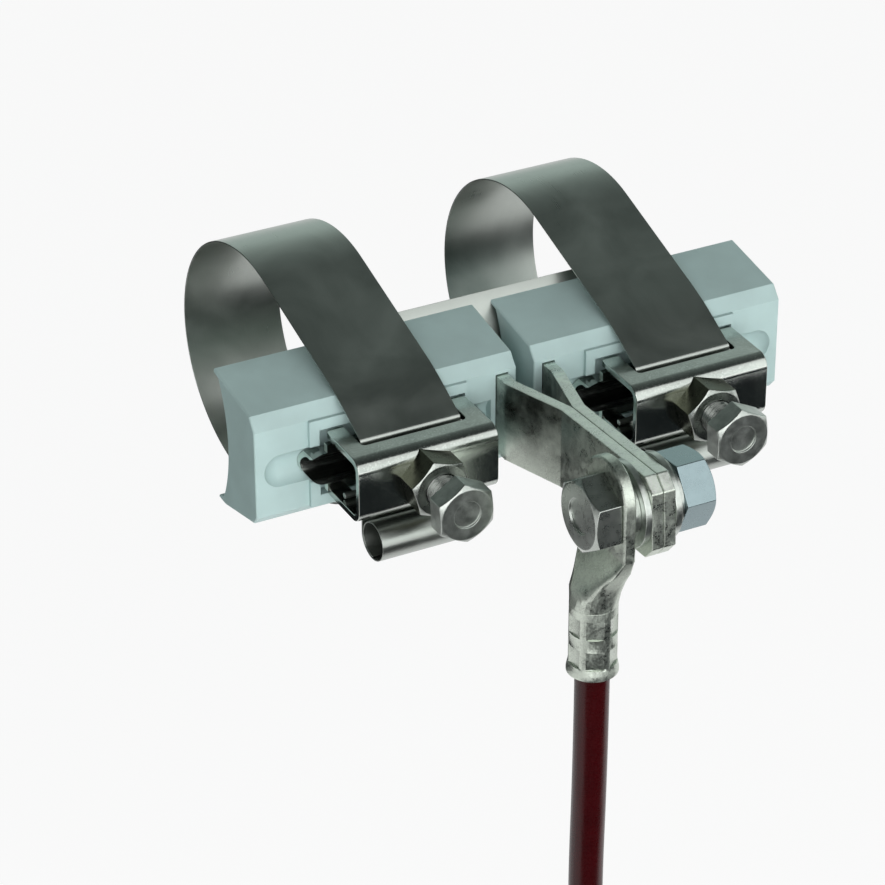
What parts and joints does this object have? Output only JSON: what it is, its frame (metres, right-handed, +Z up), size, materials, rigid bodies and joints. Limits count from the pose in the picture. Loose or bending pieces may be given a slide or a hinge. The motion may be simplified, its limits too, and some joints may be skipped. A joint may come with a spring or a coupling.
{
  "type": "pipe grounding clamp",
  "caption": "Earthing clamp for a pipe: moulded saddles held by screw-tightened steel straps, contact bars meeting at a bolted terminal with a short bonding lead.",
  "frame": {"origin": "on the clamped pipe's axis, midway between the two saddles", "axes": "+X along the pipe, -Y outward from the pipe towards the clamp screws and terminal, +Z up"},
  "size_m": [0.1366, 0.1406, 0.2389],
  "materials": {
    "saddle_plastic": "satin pale grey moulding",
    "strap_stainless": "brushed stainless sheet",
    "sheet_stainless": "plain stainless sheet",
    "pin_stainless": "plain stainless",
    "head_stainless": "satin stainless sheet",
    "nut_steel": "turned stainless",
    "screw_steel": "turned stainless",
    "bolt_steel": "bright stainless",
    "washer_steel": "plain stainless",
    "tinned_bar": "hot-dip tinned",
    "tinned_lug": "tinned copper tube",
    "copper": "stranded copper",
    "lead_insulation": "glossy dark red"
  },
  "bodies": {
    "base": {"contact_sheet": "sheet_stainless", "terminal_bolt": "bolt_steel", "terminal_nut": "bolt_steel", "saddle_left": "saddle_plastic", "contact_bar_left": "tinned_bar", "pressure_plate_left": "head_stainless", "strap_left": "strap_stainless", "strap_pin_left": "pin_stainless", "flat_washer_left": "washer_steel", "lock_washer_left": "washer_steel", "saddle_right": "saddle_plastic", "contact_bar_right": "tinned_bar", "pressure_plate_right": "head_stainless", "strap_right": "strap_stainless", "strap_pin_right": "pin_stainless", "flat_washer_right": "washer_steel", "lock_washer_right": "washer_steel"},
    "screw_left": {"clamp_screw_left": "screw_steel"},
    "head_left": {"strap_head_left": "head_stainless", "weld_nut_left": "nut_steel"},
    "screw_right": {"clamp_screw_right": "screw_steel"},
    "head_right": {"strap_head_right": "head_stainless", "weld_nut_right": "nut_steel"},
    "lug": {"cable_lug": "tinned_lug", "conductor": "copper", "lead": "lead_insulation", "far_lug": "tinned_lug", "far_conductor": "copper"}
  },
  "joints": [
    {"name": "clamp_screw_left_turn", "type": "hinge", "parent": "base", "child": "screw_left", "pos_m": [-0.0339, -0.07, 0], "axis": [0, -1, 0], "range_deg": [0, 360]},
    {"name": "head_left_slide", "type": "slide", "parent": "base", "child": "head_left", "axis": [0, 1, 0], "range_m": [0, 0.00125]},
    {"name": "clamp_screw_right_turn", "type": "hinge", "parent": "base", "child": "screw_right", "pos_m": [0.0367, -0.07, 0], "axis": [0, -1, 0], "range_deg": [0, 360]},
    {"name": "head_right_slide", "type": "slide", "parent": "base", "child": "head_right", "axis": [0, 1, 0], "range_m": [0, 0.00125]},
    {"name": "lug_swivel", "type": "hinge", "parent": "base", "child": "lug", "pos_m": [-0.0079, -0.1, 0.0037], "axis": [1, 0, 0], "range_deg": [-90, 45]}
  ],
  "couplings": [
    {"joint": "clamp_screw_left_turn", "follows": "head_left_slide", "rad_per_m": 5026.5},
    {"joint": "clamp_screw_right_turn", "follows": "head_right_slide", "rad_per_m": 5026.5}
  ]
}
